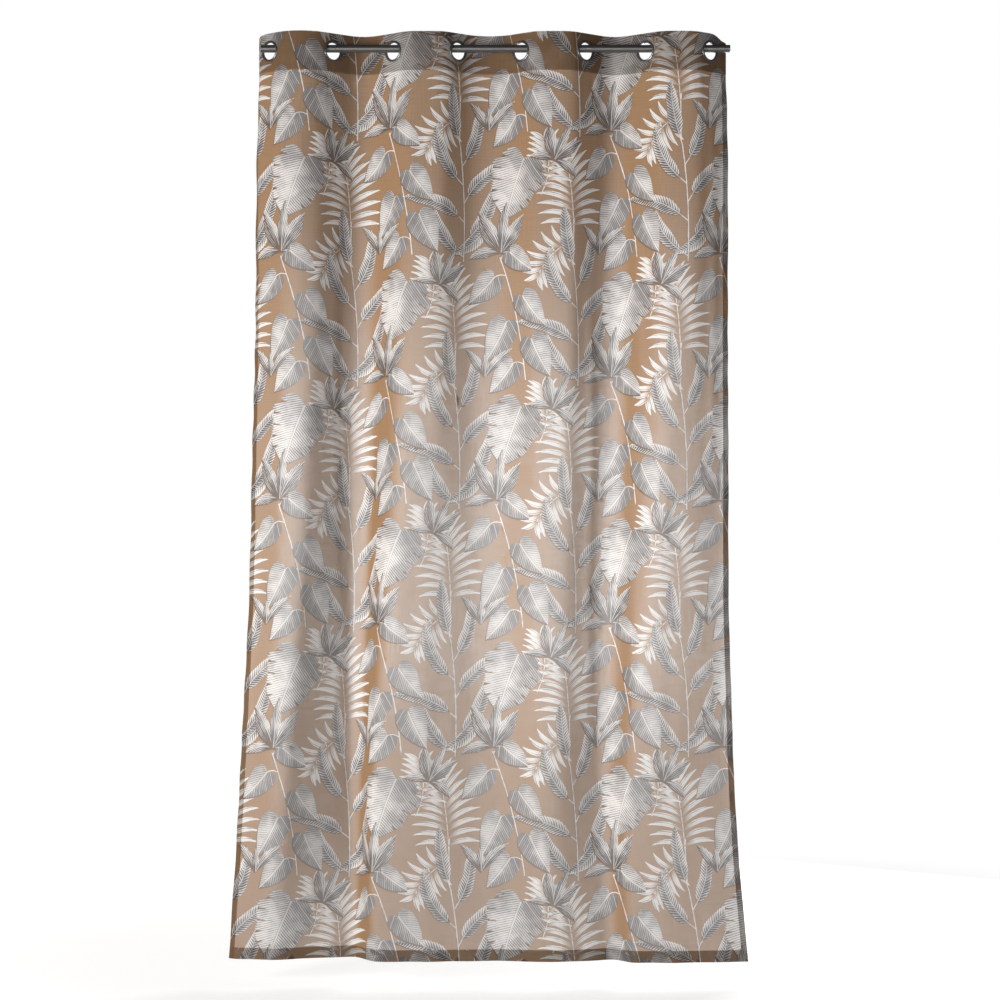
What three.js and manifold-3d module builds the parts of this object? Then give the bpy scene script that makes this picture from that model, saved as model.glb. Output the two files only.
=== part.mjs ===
// A sheer eyelet curtain hanging from a plain rod, in millimetres with +Z up.
// The origin is the middle of the rod, on its axis. +X is to the right and the front faces -Y.
// Cloth is worked out flat: "along" is measured across it from its left edge, "drop" is measured
// down from the rod's axis, and hang() says where such a point of the flat cloth hangs.
import * as THREE from 'three';
import { mergeVertices } from 'three/addons/utils/BufferGeometryUtils.js';
import Module from 'manifold-3d';

const { degToRad, lerp, clamp, smoothstep } = THREE.MathUtils;

// Rod
const ROD_DIAMETER = 20;
const ROD_LENGTH = 1212;
const ROD_SIDES = 32;

// Cloth, cut sizes and heights
const CLOTH_WIDTH = 1400;
const HEADING_TOP = -40;
const HEADING_FOOT = 60;
const HEM_DROP = 2357;
const HEM_LOWER_AT_RIGHT = 8;
const PANEL_THICKNESS = 1.4;
const HEADING_THICKNESS = 2;
const GAP = 0.3;

// Corners of the heading past the outer eyelets sag, the right one more
const CORNER_REACH = 62;
const CORNER_SAG_LEFT = 9;
const CORNER_SAG_RIGHT = 20;

// Eyelets: even along the cloth, and turned by the rod that holds them
const EYELETS = 8;
const EYELET_FROM_EDGE = 55;
const EYELET_PITCH = (CLOTH_WIDTH - 2 * EYELET_FROM_EDGE) / (EYELETS - 1);
const EYELET_TURN = 38;
const EYELET_DROP = 6.6;
const FLAT_AT_EYELET = 29;
const BOW_CLOTH = EYELET_PITCH - 2 * FLAT_AT_EYELET;
const HOLE_RADIUS = 23.6;
const PUNCH_LENGTH = 12;
const RING_SIDES = 24;

// Where the eyelets have slid to along the rod, as x of each centre
const EYELET_PLACES = [-583, -420, -264, -97, 66, 233, 388, 554];

// Half the section of each ring, as [distance in front of the cloth's middle, radius]
const FRONT_RING = [
  [1.3, 22.7],
  [1.3, 27.5],
  [3, 26.5],
  [3.6, 24.4],
  [3, 22.3],
  [1.4, 21.5],
  [-2.5, 21.8],
  [-2.5, 22.7],
];
const BACK_RING = [
  [-2.4, 23.1],
  [-3.2, 24.2],
  [-3.2, 25.6],
  [-2.2, 27.2],
  [-1.3, 27.5],
  [-1.3, 23.1],
];

// Flanks of the folds. Each starts at an eyelet, odd ones coming forward and even ones going back.
// "at", "half" and "soft" say where it has drifted to along the hem, how far it stays straight to
// each side there, and over how much cloth it dies out. "turns" is its slope in degrees at TURN_DROPS.
const TURN_DROPS = [60, 450, 950, 1450, 1900, 2357];
const FLANKS = [
  { at: 60, half: 20, soft: 60, turns: [-38, -36, -34, -30, -22, -10] },
  { at: 228, half: 88, soft: 45, turns: [38, 36, 34, 31, 25, 15] },
  { at: 371, half: 22, soft: 34, turns: [-38, -43, -50, -54, -56, -58] },
  { at: 640, half: 60, soft: 110, turns: [38, 32, 26, 20, 13, 6] },
  { at: 800, half: 40, soft: 100, turns: [-38, -32, -26, -20, -12, -6] },
  { at: 965, half: 50, soft: 60, turns: [38, 35, 31, 27, 22, 16] },
  { at: 1068, half: 16, soft: 32, turns: [-38, -38, -38, -38, -38, -42] },
  { at: 1300, half: 50, soft: 100, turns: [38, 34, 29, 23, 15, 7] },
];

// The outline by height: how far the left edge stands out past the heading's, how much wider the
// cloth hangs than the heading does, and how far its left edge curls back, in degrees
const OUTLINE = [
  { drop: 60, left: 0, wider: 0, curl: 80 },
  { drop: 275, left: 8, wider: 13, curl: 60 },
  { drop: 780, left: 14, wider: 19, curl: 30 },
  { drop: 1090, left: 20, wider: 28, curl: 20 },
  { drop: 1440, left: 27, wider: 37, curl: 15 },
  { drop: 1700, left: 38, wider: 56, curl: 15 },
  { drop: 1900, left: 48, wider: 72, curl: 18 },
  { drop: 2100, left: 60, wider: 95, curl: 24 },
  { drop: 2357, left: 78, wider: 134, curl: 30 },
];
const CURL_REACH = 26;

// Steps of the cloth's faces
const BOW_STEPS = 6;
const PANEL_COLUMNS = 64;
const PANEL_ROWS = 18;
const HEADING_ROWS = 2;
const WALK_STEP = 4;

// The search for a slope or bulge that fits: how often its range is halved, and the range itself
const HALVINGS = 30;
const MOST_BULGE = 40;
const LEAST_STRENGTH = 0.2;
const MOST_STRENGTH = 2;

// A smooth curve through the values of a table at the given drops
function through(drops, values, drop) {
  const last = drops.length - 1;
  if (drop <= drops[0]) return values[0];
  if (drop >= drops[last]) return values[last];
  const i = drops.findIndex((d) => d > drop) - 1;
  const slope = (k) => {
    const a = Math.max(k - 1, 0);
    const b = Math.min(k + 1, last);
    return (values[b] - values[a]) / (drops[b] - drops[a]);
  };
  const span = drops[i + 1] - drops[i];
  const t = (drop - drops[i]) / span;
  const ahead = t * t * (3 - 2 * t);
  const bend = t * (1 - t) * span;
  return lerp(values[i], values[i + 1], ahead) + bend * ((1 - t) * slope(i) - t * slope(i + 1));
}

function outline(column, drop) {
  return through(OUTLINE.map((row) => row.drop), OUTLINE.map((row) => row[column]), drop);
}

function eyeletAlong(i) {
  return EYELET_FROM_EDGE + i * EYELET_PITCH;
}

// The cloth's slope seen from above, in radians from +X, at one point of one height. A flank is
// straight in its middle and dies out to both sides, and "bulges" round or flatten the bow after it.
function slopeAt(along, drop, strength, bulges) {
  const lower = smoothstep(drop, HEADING_FOOT, HEM_DROP);
  let degrees = 0;
  for (let i = 0; i < EYELETS; i += 1) {
    const flank = FLANKS[i];
    const distance = along - lerp(eyeletAlong(i), flank.at, lower);
    const half = lerp(FLAT_AT_EYELET, flank.half, lower);
    const soft = lerp(BOW_CLOTH, flank.soft, lower);
    const turn = through(TURN_DROPS, flank.turns, drop);
    degrees += turn * strength * clamp(1 - (Math.abs(distance) - half) / soft, 0, 1);
    const intoBow = clamp((along - eyeletAlong(i) - FLAT_AT_EYELET) / BOW_CLOTH, 0, 1);
    degrees += Math.sign(turn) * (bulges[i] ?? 0) * (1 - lower) * Math.sin(2 * Math.PI * intoBow);
  }
  degrees -= outline('curl', drop) * clamp(1 - along / CURL_REACH, 0, 1);
  return degToRad(degrees);
}

// Walks across the cloth at one height and notes where each step of it comes to
function walk(drop, strength, bulges, upTo = CLOTH_WIDTH) {
  const steps = Math.round(upTo / WALK_STEP);
  const step = upTo / steps;
  const places = [{ x: 0, y: 0 }];
  for (let k = 0; k < steps; k += 1) {
    const slope = slopeAt((k + 0.5) * step, drop, strength, bulges);
    const from = places[k];
    places.push({ x: from.x + step * Math.cos(slope), y: from.y + step * Math.sin(slope) });
  }
  return { places, step };
}

function placeOn(line, along) {
  const { places, step } = line;
  const k = clamp(Math.floor(along / step), 0, places.length - 2);
  const t = along / step - k;
  return { x: lerp(places[k].x, places[k + 1].x, t), y: lerp(places[k].y, places[k + 1].y, t) };
}

// Halves a range until measure() of its middle is wanted; measure() falls as the value grows
function solve(low, high, wanted, measure) {
  let [a, b] = [low, high];
  for (let k = 0; k < HALVINGS; k += 1) {
    const middle = (a + b) / 2;
    if (measure(middle) > wanted) a = middle;
    else b = middle;
  }
  return (a + b) / 2;
}

// Each bow of the heading holds the same cloth, so its bulge follows from its eyelets' spacing
function bowBulges() {
  const bulges = [];
  for (let i = 0; i < EYELETS - 1; i += 1) {
    const wanted = EYELET_PLACES[i + 1] - EYELET_PLACES[i];
    const bulge = solve(-MOST_BULGE, MOST_BULGE, wanted, (tried) => {
      const line = walk(HEADING_FOOT, 1, [...bulges, tried], eyeletAlong(i + 1));
      return placeOn(line, eyeletAlong(i + 1)).x - placeOn(line, eyeletAlong(i)).x;
    });
    bulges.push(bulge);
  }
  return bulges;
}

const BULGES = bowBulges();
const sections = new Map();

// The hung cloth's line at one height, with its slopes scaled until it spans the outline
function section(drop) {
  const height = Math.max(drop, HEADING_FOOT);
  if (!sections.has(height)) {
    const heading = walk(HEADING_FOOT, 1, BULGES);
    const spanned = placeOn(heading, CLOTH_WIDTH).x + outline('wider', height);
    const reach = (strength) => placeOn(walk(height, strength, BULGES), CLOTH_WIDTH).x;
    const strength = height > HEADING_FOOT ? solve(LEAST_STRENGTH, MOST_STRENGTH, spanned, reach) : 1;
    const line = walk(height, strength, BULGES);
    const flanks = FLANKS.map((_, i) => placeOn(line, eyeletAlong(i)).y);
    const left = EYELET_PLACES[0] - placeOn(heading, eyeletAlong(0)).x - outline('left', height);
    const back = -flanks.reduce((sum, y) => sum + y, 0) / EYELETS;
    sections.set(height, { ...line, strength, left, back });
  }
  return sections.get(height);
}

// Where a point of the flat cloth hangs, "forward" in front of the cloth's middle
function hang(along, drop, forward) {
  const line = section(drop);
  const place = placeOn(line, along);
  const slope = slopeAt(along, Math.max(drop, HEADING_FOOT), line.strength, BULGES);
  const upper = 1 - smoothstep(drop, HEADING_TOP, HEADING_FOOT);
  const leftCorner = smoothstep(CORNER_REACH - along, 0, CORNER_REACH) ** 2;
  const rightCorner = smoothstep(along - CLOTH_WIDTH + CORNER_REACH, 0, CORNER_REACH) ** 2;
  const sag = upper * (CORNER_SAG_LEFT * leftCorner + CORNER_SAG_RIGHT * rightCorner);
  const level = HEM_LOWER_AT_RIGHT * (along / CLOTH_WIDTH - 0.5) * (drop / HEM_DROP);
  return new THREE.Vector3(
    line.left + place.x + forward * Math.sin(slope),
    line.back + place.y - forward * Math.cos(slope),
    -drop - sag - level,
  );
}

// A closed sheet of cloth over a grid of flat points
function hungSheet(alongs, drops, thickness) {
  const points = [];
  const faces = [];
  const across = alongs.length;
  const layer = across * drops.length;
  for (const forward of [thickness / 2, -thickness / 2]) {
    for (const drop of drops) {
      for (const along of alongs) points.push(...hang(along, drop, forward).toArray());
    }
  }
  const quad = (a, b, c, d) => faces.push(a, b, c, a, c, d);
  for (let row = 0; row < drops.length - 1; row += 1) {
    for (let column = 0; column < across - 1; column += 1) {
      const corner = row * across + column;
      quad(corner, corner + across, corner + across + 1, corner + 1);
      quad(layer + corner, layer + corner + 1, layer + corner + across + 1, layer + corner + across);
    }
  }
  const rim = [];
  for (let column = 0; column < across; column += 1) rim.push(column);
  for (let row = 1; row < drops.length; row += 1) rim.push((row + 1) * across - 1);
  for (let column = across - 2; column >= 0; column -= 1) rim.push(layer - across + column);
  for (let row = drops.length - 2; row > 0; row -= 1) rim.push(row * across);
  rim.forEach((from, k) => {
    const to = rim[(k + 1) % rim.length];
    quad(from, to, to + layer, from + layer);
  });
  const geometry = new THREE.BufferGeometry();
  geometry.setAttribute('position', new THREE.Float32BufferAttribute(points, 3));
  geometry.setIndex(faces);
  return geometry;
}

const wasm = await Module();
wasm.setup();

function solidOf(geometry) {
  const bare = geometry.clone();
  bare.deleteAttribute('normal');
  bare.deleteAttribute('uv');
  const merged = mergeVertices(bare);
  const vertProperties = new Float32Array(merged.attributes.position.array);
  const triVerts = new Uint32Array(merged.index.array);
  return new wasm.Manifold(new wasm.Mesh({ numProp: 3, vertProperties, triVerts }));
}

function geometryOf(solid) {
  const { vertProperties, triVerts } = solid.getMesh();
  const geometry = new THREE.BufferGeometry();
  geometry.setAttribute('position', new THREE.Float32BufferAttribute(vertProperties, 3));
  geometry.setIndex(Array.from(triVerts));
  return geometry;
}

// Stands a turned shape, made about +Y, at an eyelet with +Y towards the cloth's front
function atEyelet(i, object) {
  const turn = degToRad(i % 2 === 0 ? -EYELET_TURN : EYELET_TURN);
  object.position.set(EYELET_PLACES[i], 0, -EYELET_DROP);
  const front = new THREE.Vector3(Math.sin(turn), -Math.cos(turn), 0);
  object.quaternion.setFromUnitVectors(new THREE.Vector3(0, 1, 0), front);
  return object;
}

const cloth = new THREE.MeshStandardMaterial({ color: 0xb99a7b, roughness: 0.9, side: THREE.DoubleSide });
const rings = new THREE.MeshStandardMaterial({ color: 0x2b2b2d, roughness: 0.35, metalness: 0.8 });
const steel = new THREE.MeshStandardMaterial({ color: 0x4a4b4d, roughness: 0.4, metalness: 0.9 });

function named(name, geometry, material) {
  const mesh = new THREE.Mesh(geometry, material);
  mesh.name = name;
  return mesh;
}

function rod() {
  const geometry = new THREE.CylinderGeometry(ROD_DIAMETER / 2, ROD_DIAMETER / 2, ROD_LENGTH, ROD_SIDES);
  const mesh = named('rod', geometry, steel);
  mesh.rotation.z = Math.PI / 2;
  return mesh;
}

// The heading's grid has a column where each eyelet's flat stretch begins and ends
function headingAlongs() {
  const alongs = [0, CURL_REACH / 2];
  for (let i = 0; i < EYELETS; i += 1) {
    const from = eyeletAlong(i) - FLAT_AT_EYELET;
    const to = eyeletAlong(i) + FLAT_AT_EYELET;
    alongs.push(from, to);
    for (let k = 1; k < BOW_STEPS && i < EYELETS - 1; k += 1) alongs.push(to + (BOW_CLOTH * k) / BOW_STEPS);
  }
  return [...alongs, CLOTH_WIDTH - CURL_REACH / 2, CLOTH_WIDTH];
}

function evenly(from, to, steps) {
  return Array.from({ length: steps + 1 }, (_, k) => lerp(from, to, k / steps));
}

function heading() {
  const drops = evenly(HEADING_TOP, HEADING_FOOT, HEADING_ROWS);
  let strip = solidOf(hungSheet(headingAlongs(), drops, HEADING_THICKNESS));
  for (let i = 0; i < EYELETS; i += 1) {
    const hole = new THREE.CylinderGeometry(HOLE_RADIUS, HOLE_RADIUS, PUNCH_LENGTH, RING_SIDES);
    const punch = atEyelet(i, new THREE.Mesh(hole));
    punch.updateMatrix();
    strip = strip.subtract(solidOf(hole.applyMatrix4(punch.matrix)));
  }
  return named('heading', geometryOf(strip), cloth);
}

function panel() {
  const alongs = evenly(0, CLOTH_WIDTH, PANEL_COLUMNS);
  const drops = evenly(HEADING_FOOT + GAP, HEM_DROP, PANEL_ROWS);
  return named('panel', hungSheet(alongs, drops, PANEL_THICKNESS), cloth);
}

function ring(name, profile, i) {
  const points = [...profile, profile[0]].map(([forward, radius]) => new THREE.Vector2(radius, forward));
  return atEyelet(i, named(name, new THREE.LatheGeometry(points, RING_SIDES), rings));
}

const curtain = new THREE.Group();
curtain.add(rod(), heading(), panel());
for (let i = 0; i < EYELETS; i += 1) {
  curtain.add(ring(`eyelet_${i + 1}_front`, FRONT_RING, i), ring(`eyelet_${i + 1}_back`, BACK_RING, i));
}

export default curtain;
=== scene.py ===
import math

import bpy
import numpy as np
from mathutils.geometry import delaunay_2d_cdt
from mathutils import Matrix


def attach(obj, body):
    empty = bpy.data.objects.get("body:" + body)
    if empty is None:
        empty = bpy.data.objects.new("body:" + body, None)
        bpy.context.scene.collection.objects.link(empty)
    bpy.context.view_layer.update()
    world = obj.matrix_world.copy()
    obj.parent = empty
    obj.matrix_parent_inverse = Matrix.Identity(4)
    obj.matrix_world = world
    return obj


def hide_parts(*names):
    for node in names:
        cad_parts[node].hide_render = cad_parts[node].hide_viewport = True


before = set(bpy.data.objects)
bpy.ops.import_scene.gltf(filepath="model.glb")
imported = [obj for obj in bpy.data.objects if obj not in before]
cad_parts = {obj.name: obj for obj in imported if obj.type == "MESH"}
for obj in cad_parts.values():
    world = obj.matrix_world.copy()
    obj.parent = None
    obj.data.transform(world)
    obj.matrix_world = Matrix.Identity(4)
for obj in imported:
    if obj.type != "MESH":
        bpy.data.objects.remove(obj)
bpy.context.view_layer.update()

# The cloth as it hangs. One width of sheer voile, 1400 mm wide and about 2400 mm long, pushed on to the
# rod by its eyelets. Sizes are in millimetres: "along" runs across the cloth from its left edge and
# "drop" runs down from the rod's axis, so a point of the flat cloth keeps its numbers when it is hung.
MM = 0.001
CLOTH_WIDE = 1400
HEADING_TOP = -40
HEADING_FOOT = 60
HEM_DROP = 2357
HEM_LOWER_AT_RIGHT = 8

CORNER_REACH = 62
CORNER_SAG_LEFT = 9
CORNER_SAG_RIGHT = 20

# The eyelets: where they are along the cloth and along the rod, how far round they turn, in degrees, how
# low they hang, and how much cloth either side of each one stays flat
EYELETS = 8
EYELET_FROM_EDGE = 55
EYELET_PITCH = (CLOTH_WIDE - 2 * EYELET_FROM_EDGE) / (EYELETS - 1)
EYELET_ALONG = [EYELET_FROM_EDGE + i * EYELET_PITCH for i in range(EYELETS)]
EYELET_PLACES = [-583, -420, -264, -97, 66, 233, 388, 554]
EYELET_TURN = 38
EYELET_DROP = 6.6
FLAT_AT_EYELET = 29
BOW_CLOTH = EYELET_PITCH - 2 * FLAT_AT_EYELET

# The flanks of the folds: where each has drifted to along the hem, how far it stays straight there, over
# how much cloth it dies out, and its slope in degrees at the TURN_DROPS
TURN_DROPS = [60, 450, 950, 1450, 1900, 2357]
FLANKS = [
    (60, 20, 60, [-38, -36, -34, -30, -22, -10]),
    (228, 88, 45, [38, 36, 34, 31, 25, 15]),
    (371, 22, 34, [-38, -43, -50, -54, -56, -58]),
    (640, 60, 110, [38, 32, 26, 20, 13, 6]),
    (800, 40, 100, [-38, -32, -26, -20, -12, -6]),
    (965, 50, 60, [38, 35, 31, 27, 22, 16]),
    (1068, 16, 32, [-38, -38, -38, -38, -38, -42]),
    (1300, 50, 100, [38, 34, 29, 23, 15, 7]),
]

# The outline by height: how far the left edge stands out past the heading's, how much wider the cloth
# hangs than the heading does, and how far its left edge curls back, in degrees
OUTLINE = {
    "drop": [60, 275, 780, 1090, 1440, 1700, 1900, 2100, 2357],
    "left": [0, 8, 14, 20, 27, 38, 48, 60, 78],
    "wider": [0, 13, 19, 28, 37, 56, 72, 95, 134],
    "curl": [80, 60, 30, 20, 15, 15, 18, 24, 30],
}
CURL_REACH = 26

# Small creases pressed into the cloth: along and drop where each starts, the same where it ends, how deep
# it is and how wide
CREASES = [
    (150, 90, 128, 900, 2.2, 12),
    (262, 240, 286, 1500, -2.0, 14),
    (318, 700, 330, 2200, 2.4, 11),
    (470, 70, 520, 640, 2.0, 16),
    (560, 900, 590, 2000, -1.6, 24),
    (700, 1400, 740, 2340, 2.0, 26),
    (880, 80, 852, 820, -2.0, 15),
    (985, 500, 1000, 1900, 2.2, 13),
    (1120, 100, 1150, 1100, 2.0, 16),
    (1236, 900, 1222, 2330, -2.0, 20),
    (1345, 80, 1352, 1200, 2.0, 12),
]


def eased(share):
    share = np.clip(share, 0, 1)
    return share * share * (3 - 2 * share)


def mix(first, last, share):
    return first + (last - first) * share


def through(drops, values, drop):
    """A smooth curve through a table's values, read at every drop asked for."""
    drops, values = np.array(drops, float), np.array(values, float)
    ends = np.arange(len(drops))
    before, after = np.maximum(ends - 1, 0), np.minimum(ends + 1, len(drops) - 1)
    slope = (values[after] - values[before]) / (drops[after] - drops[before])
    drop = np.clip(drop, drops[0], drops[-1])
    row = np.clip(np.searchsorted(drops, drop, side="right") - 1, 0, len(drops) - 2)
    span = drops[row + 1] - drops[row]
    share = (drop - drops[row]) / span
    bend = share * (1 - share) * span
    lean = (1 - share) * slope[row] - share * slope[row + 1]
    return mix(values[row], values[row + 1], eased(share)) + bend * lean


def slopes(along, drop, strength, bulges):
    """The cloth's slope seen from above, in radians from +X, over rows of heights."""
    lower = eased((drop - HEADING_FOOT) / (HEM_DROP - HEADING_FOOT))
    degrees = np.zeros(np.broadcast_shapes(along.shape, drop.shape))
    for (at, half, soft, turns), eyelet, bulge in zip(FLANKS, EYELET_ALONG, bulges):
        past_flat = np.abs(along - mix(eyelet, at, lower)) - mix(FLAT_AT_EYELET, half, lower)
        turn = through(TURN_DROPS, turns, drop)
        degrees += turn * strength * np.clip(1 - past_flat / mix(BOW_CLOTH, soft, lower), 0, 1)
        into_bow = np.clip((along - eyelet - FLAT_AT_EYELET) / BOW_CLOTH, 0, 1)
        degrees += np.sign(turn) * bulge * (1 - lower) * np.sin(2 * np.pi * into_bow)
    curl = through(OUTLINE["drop"], OUTLINE["curl"], drop)
    return np.radians(degrees - curl * np.clip(1 - along / CURL_REACH, 0, 1))


WALK_STEP = 4
WALKED = np.arange(0, CLOTH_WIDE + WALK_STEP, WALK_STEP)
HEIGHT_ROWS = 220
HEIGHTS = np.linspace(HEADING_FOOT, HEM_DROP, HEIGHT_ROWS)[:, None]
HALVINGS = 30
BULGE_MOST = 40
STRENGTH_LEAST = 0.2
STRENGTH_MOST = 2.0


def walk(drop, strength, bulges):
    """Where each step across the cloth comes to, in x and y, over rows of heights."""
    slope = slopes(WALKED[:-1] + WALK_STEP / 2, drop, strength, bulges)
    start = np.zeros((len(slope), 1))
    x = np.hstack([start, np.cumsum(WALK_STEP * np.cos(slope), axis=1)])
    y = np.hstack([start, np.cumsum(WALK_STEP * np.sin(slope), axis=1)])
    return x, y


def solve(low, high, wanted, measure):
    """The value whose measure is the wanted one, where the measure falls as the value grows."""
    low, high = np.array(low, float), np.array(high, float)
    for _ in range(HALVINGS):
        middle = (low + high) / 2
        too_much = measure(middle) > wanted
        low, high = np.where(too_much, middle, low), np.where(too_much, high, middle)
    return (low + high) / 2


def bow_span(i, bulge):
    """How far apart the eyelets at the two ends of a bow of the heading hang, if it bulges this much."""
    bulges[i] = bulge
    x = walk(HEIGHTS[:1], 1, bulges)[0][0]
    return np.interp(EYELET_ALONG[i + 1], WALKED, x) - np.interp(EYELET_ALONG[i], WALKED, x)


# Each bow of the heading holds the same cloth, so how round it is follows from its eyelets' spacing
bulges = np.zeros(EYELETS)
for i in range(EYELETS - 1):
    apart = EYELET_PLACES[i + 1] - EYELET_PLACES[i]
    bulges[i] = solve(-BULGE_MOST, BULGE_MOST, apart, lambda bulge: bow_span(i, bulge))

# Lower down, the folds are as strong as the width that the cloth spans there asks for
heading_x = walk(HEIGHTS[:1], 1, bulges)[0][0]
spanned = heading_x[-1] + through(OUTLINE["drop"], OUTLINE["wider"], HEIGHTS)
strength = solve(
    np.full_like(HEIGHTS, STRENGTH_LEAST), np.full_like(HEIGHTS, STRENGTH_MOST), spanned,
    lambda tried: walk(HEIGHTS, tried, bulges)[0][:, -1:],
)
HUNG_X, HUNG_Y = walk(HEIGHTS, strength, bulges)
HUNG_SLOPE = slopes(WALKED, HEIGHTS, strength, bulges)
eyelet_steps = [round(along / WALK_STEP) for along in EYELET_ALONG]
left_edge = EYELET_PLACES[0] - np.interp(EYELET_ALONG[0], WALKED, heading_x)
HUNG_X += left_edge - through(OUTLINE["drop"], OUTLINE["left"], HEIGHTS)
HUNG_Y -= HUNG_Y[:, eyelet_steps].mean(axis=1, keepdims=True)


def read(table, along, drop):
    """A table over the cloth read between its rows and columns."""
    row = np.clip((drop - HEADING_FOOT) / (HEM_DROP - HEADING_FOOT), 0, 1) * (len(HEIGHTS) - 1)
    column = np.clip(along / WALK_STEP, 0, len(WALKED) - 1)
    r = np.minimum(row.astype(int), len(HEIGHTS) - 2)
    c = np.minimum(column.astype(int), len(WALKED) - 2)
    upper = mix(table[r, c], table[r, c + 1], column - c)
    lower = mix(table[r + 1, c], table[r + 1, c + 1], column - c)
    return mix(upper, lower, row - r)


def hang(along, drop, forward):
    """Where points of the flat cloth hang, in metres, "forward" in front of the cloth's middle."""
    slope = read(HUNG_SLOPE, along, drop)
    upper = 1 - eased((drop - HEADING_TOP) / (HEADING_FOOT - HEADING_TOP))
    left = eased(1 - along / CORNER_REACH) ** 2
    right = eased((along - CLOTH_WIDE + CORNER_REACH) / CORNER_REACH) ** 2
    sag = upper * (CORNER_SAG_LEFT * left + CORNER_SAG_RIGHT * right)
    level = HEM_LOWER_AT_RIGHT * (along / CLOTH_WIDE - 0.5) * (drop / HEM_DROP)
    x = read(HUNG_X, along, drop) + forward * np.sin(slope)
    y = read(HUNG_Y, along, drop) - forward * np.cos(slope)
    return np.stack([x, y, -drop - sag - level], axis=-1) * MM


# How far a crease wanders off its line and how often, and the share of its length that each end fades over
CREASE_WANDER = 6
CREASE_BENDS = 5
CREASE_END = 0.25

# The waves in the cloth below the heading's stitches, beside its sides, above its foot and all over it:
# how high and how long they are, how unevenly they run and over what length, how far from the stitches
# or the edge they reach, and over what length they begin
PUCKERS = {"high": 0.9, "long": 4.6, "uneven": 1.5, "over": 37, "reach": 45, "begin": 8}
SIDE_WAVES = {"high": 1.3, "long": 23, "uneven": 2, "over": 140, "reach": 16, "begin": 90}
FOOT_WAVES = {"high": 2.2, "long": 21, "uneven": 1.3, "over": 90, "reach": 70}
BROAD_WAVES = {"high": 1.1, "long": 61, "uneven": 1.7, "over": 310, "tall": 173, "slant": 240, "begin": 300}


def wave(place, drift, waves):
    """An uneven wave from -1 to 1 that runs along one direction and drifts with another."""
    return np.sin(place / waves["long"] + waves["uneven"] * np.sin(drift / waves["over"]))


def ripples(along, drop):
    """How far small creases push the cloth forward: pressed creases, puckers and wavy hems."""
    push = np.zeros_like(along)
    for from_along, from_drop, to_along, to_drop, deep, wide in CREASES:
        share = (drop - from_drop) / (to_drop - from_drop)
        wander = CREASE_WANDER * np.sin(CREASE_BENDS * share + wide)
        centre = mix(from_along, to_along, share) + wander
        fade = eased(share / CREASE_END) * eased((1 - share) / CREASE_END)
        push += deep * fade * np.exp(-(((along - centre) / wide) ** 2))
    below = drop - HEADING_FOOT
    fade = np.exp(-np.maximum(below, 0) / PUCKERS["reach"]) * eased(below / PUCKERS["begin"])
    push += PUCKERS["high"] * fade * wave(along, along, PUCKERS)
    fade = np.exp(-np.minimum(along, CLOTH_WIDE - along) / SIDE_WAVES["reach"])
    push += SIDE_WAVES["high"] * fade * wave(drop, drop, SIDE_WAVES) * eased(drop / SIDE_WAVES["begin"])
    fade = np.exp(-np.maximum(HEM_DROP - drop, 0) / FOOT_WAVES["reach"])
    push += FOOT_WAVES["high"] * fade * wave(along, along, FOOT_WAVES)
    slanted = np.sin(drop / BROAD_WAVES["tall"] + along / BROAD_WAVES["slant"])
    broad = wave(along, drop, BROAD_WAVES) * slanted
    return push + BROAD_WAVES["high"] * broad * eased(below / BROAD_WAVES["begin"])


# The print. An all-over half-drop repeat of grey and white jungle leaves, screen printed on the flat
# cloth before it is sewn, each leaf drawn about its own midrib, which bends along an arc. A leaf's edge
# is a list of shares of its length and half width from foot to tip, and its strokes run off the midrib.
REPEAT_WIDE = 320
REPEAT_TALL = 640
HALF_DROP = 320
PRINT_START_ALONG = -90
PRINT_START_DROP = 210
PRINT_COLUMNS = range(-2, 6)
PRINT_TIERS = range(-6, 4)
PRINTED_SHADOW = (-2.4, -3.4)

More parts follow.
